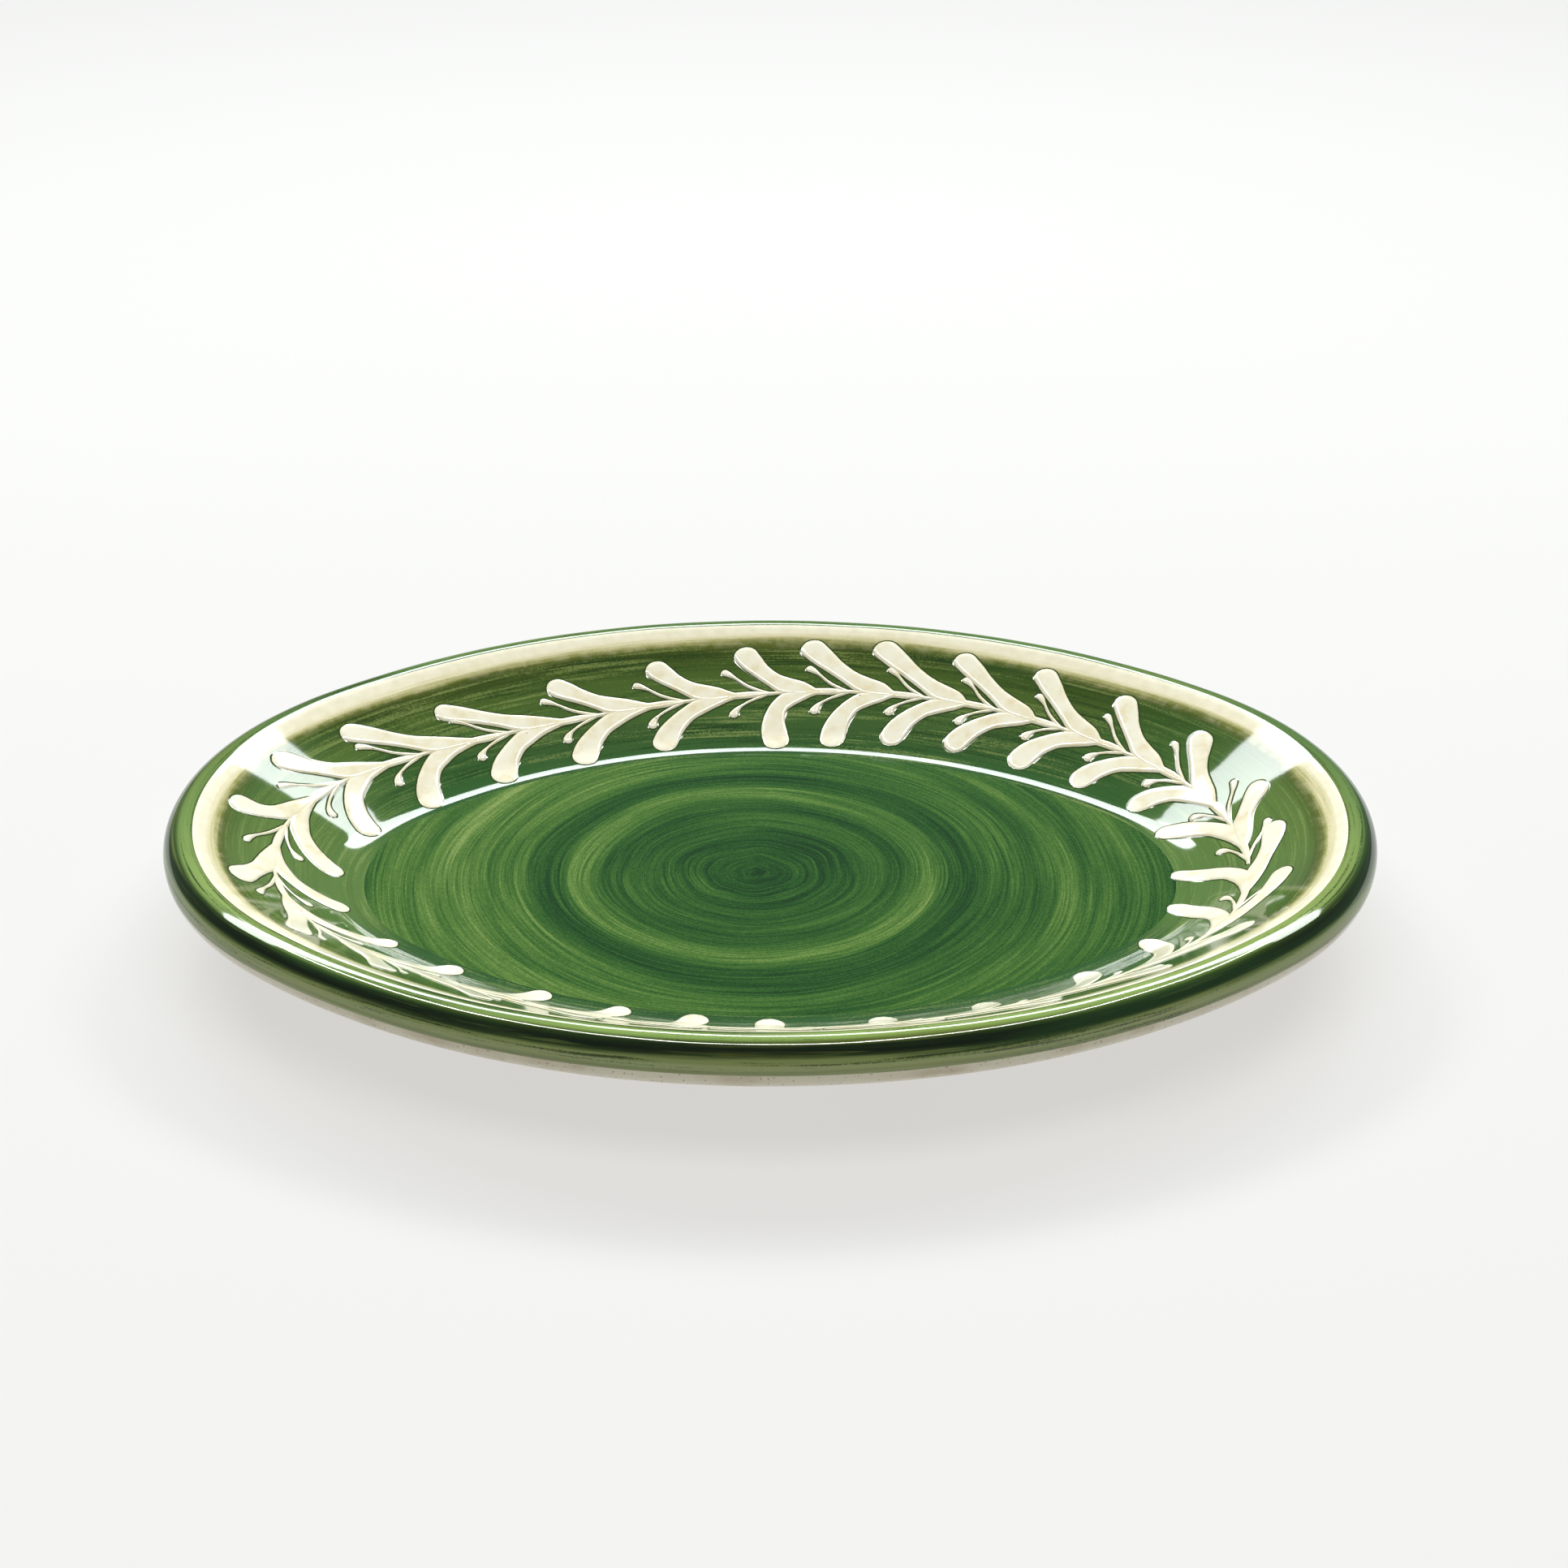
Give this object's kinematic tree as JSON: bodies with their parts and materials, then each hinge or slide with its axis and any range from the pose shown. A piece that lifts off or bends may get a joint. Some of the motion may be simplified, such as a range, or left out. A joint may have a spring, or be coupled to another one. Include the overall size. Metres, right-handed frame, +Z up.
{
  "type": "oval serving plate",
  "caption": "Shallow oval glazed earthenware serving plate with a rolled lip, a foot ring and a painted wreath of leaves round its wall.",
  "frame": {"origin": "on the resting plane, under the middle of the plate", "axes": "+X along the plate's length, +Y across it, +Z up out of the dish"},
  "size_m": [0.3, 0.234, 0.0315],
  "materials": {
    "clay": "fired earthenware, matt",
    "bare_clay": "unglazed foot, matt and slightly rough",
    "floor_green": "deep green glaze with circular brush strokes, glossy",
    "wall_green": "olive green glaze with strokes along the wall, glossy",
    "cream_slip": "cream slip under clear glaze, glossy",
    "lip_green": "green glaze in bands along the lip, glossy",
    "under_glaze": "thin cream glaze, glossy",
    "painted_slip": "bone coloured strokes with dark edges, glossy"
  },
  "bodies": {
    "root": {"clay_dish": "clay", "lip_roll": "clay", "foot_ring": "bare_clay", "floor_glaze": "floor_green", "wall_glaze": "wall_green", "cream_ring": "cream_slip", "lip_glaze": "lip_green", "outside_glaze": "under_glaze", "base_glaze": "under_glaze", "stem": "painted_slip", "outer_leaves": "painted_slip", "inner_leaves": "painted_slip", "outer_stamens": "painted_slip", "inner_stamens": "painted_slip"}
  },
  "joints": []
}
